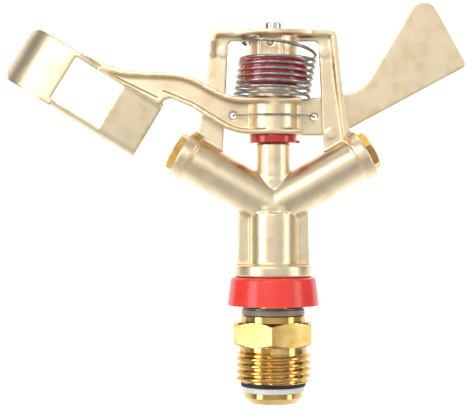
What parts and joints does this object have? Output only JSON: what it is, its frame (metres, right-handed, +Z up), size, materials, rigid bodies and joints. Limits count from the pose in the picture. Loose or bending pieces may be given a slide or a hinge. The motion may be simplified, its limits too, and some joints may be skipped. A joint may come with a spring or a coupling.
{
  "type": "impact sprinkler",
  "caption": "Two-nozzle impact sprinkler: threaded swivel inlet, angled barrels, bridge, spring-loaded arm with drive spoon and balance vane.",
  "frame": {"origin": "swivel axis at the lower end of the inlet thread", "axes": "+Z up the swivel axis, +X towards the balance vane and spreader nozzle, -Y the front of the arm"},
  "size_m": [0.1276, 0.0252, 0.11],
  "materials": {
    "polished_brass": "polished",
    "white_plastic": "satin",
    "black_rubber": "matte",
    "clear_plastic": "translucent",
    "spring_steel": "satin",
    "red_cap": "gloss",
    "cast_brass": "satin cast",
    "nozzle_brass": "turned",
    "pin_steel": "polished",
    "red_bushing": "gloss"
  },
  "bodies": {
    "inlet": {"inlet_nipple": "polished_brass", "wear_washer": "clear_plastic", "steel_washer": "spring_steel"},
    "float_stack": {"dust_cap": "red_cap", "seal_ring_black": "black_rubber", "seal_washer_white": "white_plastic", "bearing_spring": "spring_steel"},
    "head": {"spindle_tube": "polished_brass", "sprinkler_body": "cast_brass", "range_nozzle": "nozzle_brass", "spreader_nozzle": "nozzle_brass", "range_nozzle_gasket": "black_rubber", "spreader_nozzle_gasket": "black_rubber", "stream_straightener": "white_plastic", "fulcrum_pin": "pin_steel", "spring_spool": "red_bushing"},
    "arm": {"impact_arm": "cast_brass", "lower_bushing": "red_bushing", "upper_bushing": "white_plastic", "retaining_wire": "spring_steel", "arm_spring": "spring_steel"}
  },
  "joints": [
    {"name": "head_float", "type": "slide", "parent": "inlet", "child": "float_stack", "axis": [0, 0, 1], "range_m": [-0.002, 0], "stiffness_N_per_m": 2500, "springref_m": 0.002, "deforming": ["bearing_spring"]},
    {"name": "head_swivel", "type": "hinge", "parent": "float_stack", "child": "head", "pos_m": [0, 0, 0], "axis": [0, 0, 1], "continuous": true},
    {"name": "arm_swing", "type": "hinge", "parent": "head", "child": "arm", "pos_m": [0, 0, 0.07], "axis": [0, 0, 1], "range_deg": [0, 130], "stiffness_Nm_per_rad": 0.012, "springref_deg": -20.05, "deforming": ["arm_spring"]}
  ]
}
